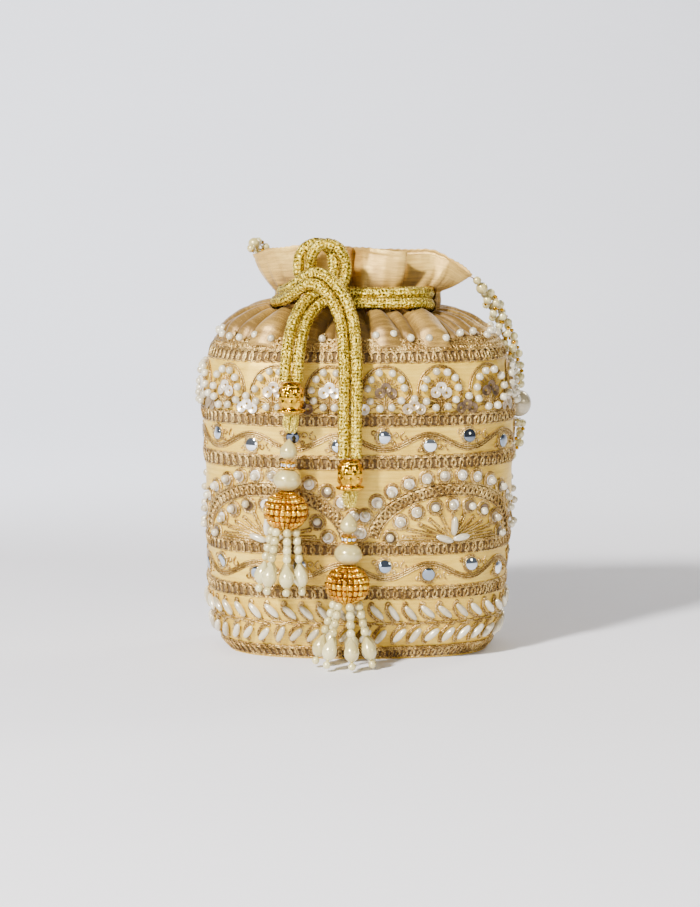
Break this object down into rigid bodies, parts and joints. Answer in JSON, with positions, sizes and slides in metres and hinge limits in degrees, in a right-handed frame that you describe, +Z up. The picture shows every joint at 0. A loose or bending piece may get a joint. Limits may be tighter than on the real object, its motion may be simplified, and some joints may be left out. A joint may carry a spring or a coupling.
{
  "type": "potli bag",
  "caption": "Embroidered oval drawstring pouch with a gathered frill, a doubled gold cord tied in a half bow, beaded pendants and a beaded handle.",
  "frame": {"origin": "centre of the flat base's underside", "axes": "+Z up, front (the pendants' side) faces -Y, +X to the right as seen from the front"},
  "size_m": [0.158, 0.1453, 0.1945],
  "materials": {
    "embroidered_silk": "woven tissue silk with metallic embroidery",
    "lining_satin": "plain satin",
    "tissue_silk": "soft sheen tissue silk",
    "card": "grey board",
    "gimp_braid": "antique gold gimp cord",
    "gold_cord": "braided metallic yarn",
    "gilt_metal": "bright gilt",
    "pearl": "pearl lustre",
    "bugle_beads": "silver-lined glass",
    "crystal": "cut stones in gilt rims"
  },
  "bodies": {
    "bag": {"embroidered_body": "embroidered_silk", "lining": "lining_satin", "base_cover": "embroidered_silk", "base_board": "card", "braid_foot": "gimp_braid", "braid_above_leaves": "gimp_braid", "braid_below_fans": "gimp_braid", "braid_above_fans": "gimp_braid", "braid_below_flowers": "gimp_braid", "braid_shoulder": "gimp_braid", "yoke_and_frill": "tissue_silk", "casing_band": "lining_satin", "drawstring_outer": "gold_cord", "drawstring_inner": "gold_cord", "left_bell_cap": "gilt_metal", "left_cord_tuft": "gold_cord", "right_bell_cap": "gilt_metal", "right_cord_tuft": "gold_cord"},
    "handle": {"handle_right_end_pearl": "pearl", "handle_right_second_pearl": "pearl", "handle_right_strands": "pearl", "handle_right_big_pearl": "pearl", "handle_back_strands": "pearl", "handle_left_big_pearl": "pearl", "handle_left_strands": "pearl", "handle_left_second_pearl": "pearl", "handle_left_end_pearl": "pearl"},
    "left_pendant": {"left_drop_pearl": "pearl", "left_rondelle": "crystal", "left_round_pearl": "pearl", "left_bugle_ball": "bugle_beads", "left_tassel_strand_1": "pearl", "left_tassel_strand_2": "pearl", "left_tassel_strand_3": "pearl", "left_tassel_strand_4": "pearl", "left_tassel_strand_5": "pearl", "left_tassel_strand_6": "pearl", "left_tassel_strand_7": "pearl"},
    "right_pendant": {"right_drop_pearl": "pearl", "right_rondelle": "crystal", "right_round_pearl": "pearl", "right_bugle_ball": "bugle_beads", "right_tassel_strand_1": "pearl", "right_tassel_strand_2": "pearl", "right_tassel_strand_3": "pearl", "right_tassel_strand_4": "pearl", "right_tassel_strand_5": "pearl", "right_tassel_strand_6": "pearl", "right_tassel_strand_7": "pearl"}
  },
  "joints": [
    {"name": "handle_swing", "type": "hinge", "parent": "bag", "child": "handle", "pos_m": [0.00215, 0.0025, 0.1813], "axis": [0.9931, -0.028, -0.114], "range_deg": [0, 120]},
    {"name": "left_pendant_swing", "type": "hinge", "parent": "bag", "child": "left_pendant", "pos_m": [-0.0313, -0.062, 0.1062], "axis": [-1, 0, 0], "range_deg": [0, 60]},
    {"name": "right_pendant_swing", "type": "hinge", "parent": "bag", "child": "right_pendant", "pos_m": [-0.0041, -0.0622, 0.0722], "axis": [-1, 0, 0], "range_deg": [0, 60]}
  ]
}
